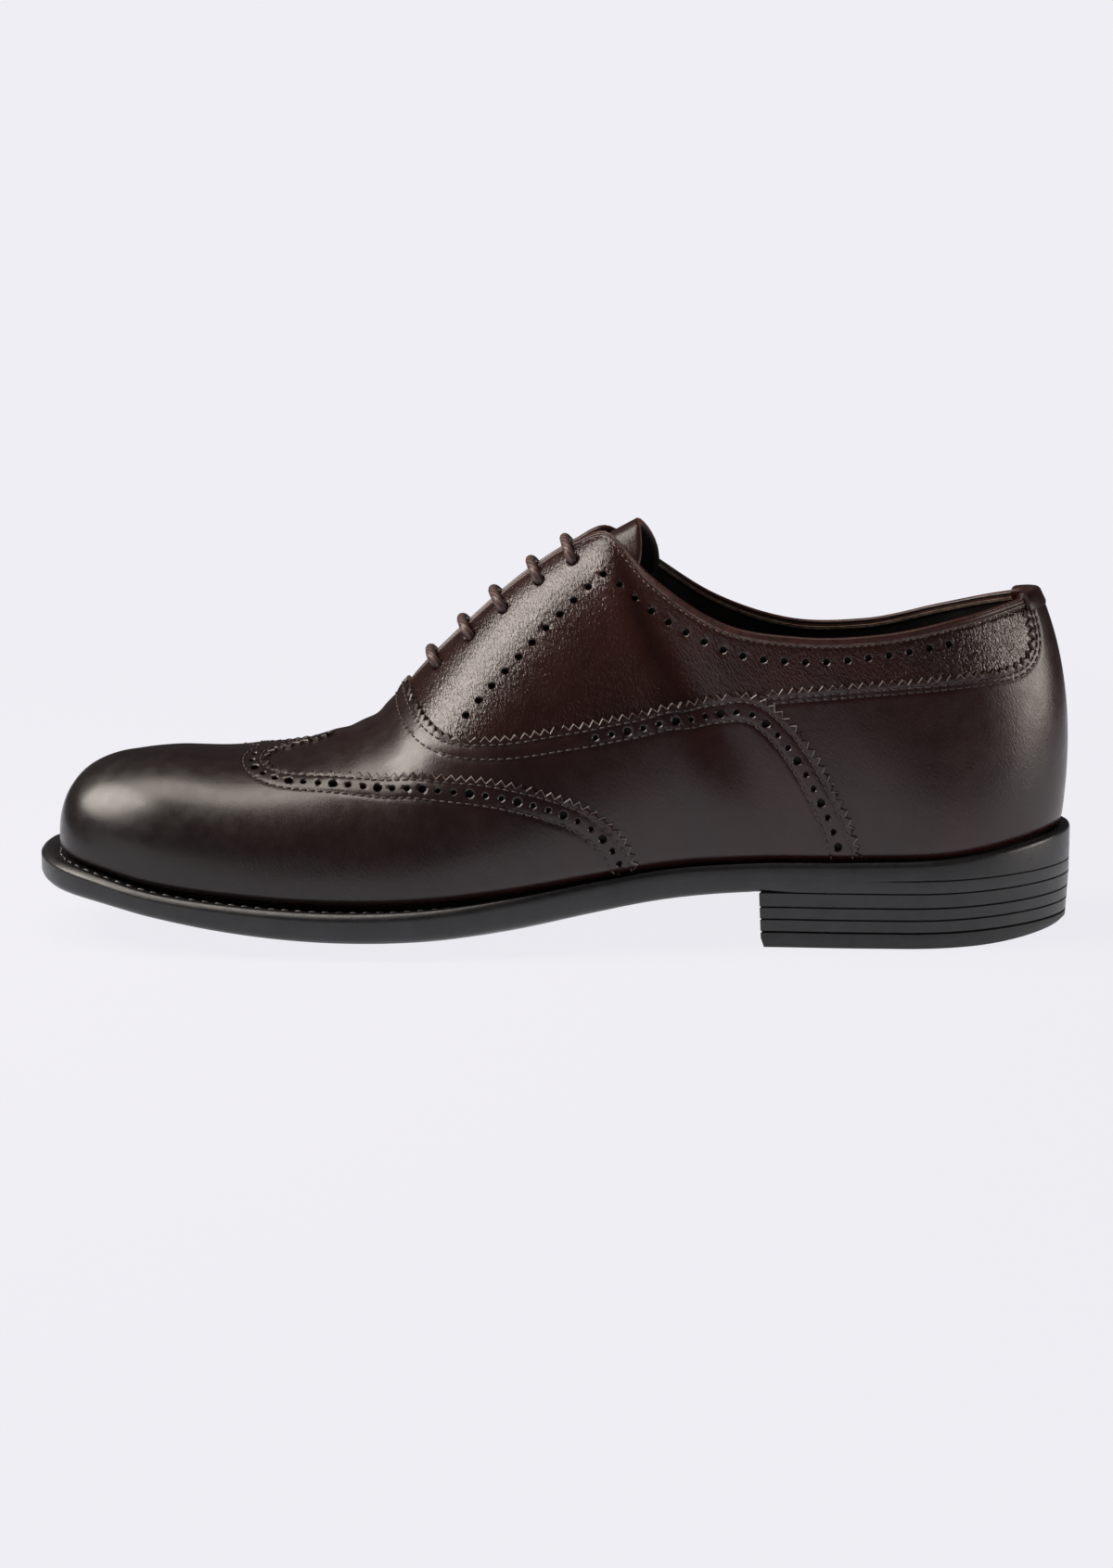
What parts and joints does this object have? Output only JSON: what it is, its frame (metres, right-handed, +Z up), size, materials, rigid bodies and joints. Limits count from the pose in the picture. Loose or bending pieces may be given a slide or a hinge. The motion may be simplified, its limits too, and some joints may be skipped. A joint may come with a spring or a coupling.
{
  "type": "lace-up dress shoe",
  "caption": "Right-foot full-brogue lace-up dress shoe in dark oxblood leather, with a winged toe cap, a welted black sole and a stacked heel.",
  "frame": {"origin": "on the floor, under the middle of the shoe's length and breadth", "axes": "-X is toward the toe, +X toward the heel, -Y toward the inner side of the foot, +Z up from the floor"},
  "size_m": [0.3, 0.1037, 0.119],
  "materials": {
    "sole_leather": "satin",
    "heel_rubber": "matte",
    "insole_leather": "matte",
    "oxblood_leather": "gloss",
    "burnished_leather": "gloss",
    "tongue_leather": "satin",
    "lace_cord": "satin"
  },
  "bodies": {
    "root": {"outsole": "sole_leather", "welt": "sole_leather", "heel": "sole_leather", "top_lift": "heel_rubber", "insole": "insole_leather", "upper": "oxblood_leather", "wing_cap": "burnished_leather", "side_panel": "burnished_leather", "counter": "burnished_leather", "back_tab": "burnished_leather", "tongue": "tongue_leather", "lace": "lace_cord"}
  },
  "joints": []
}
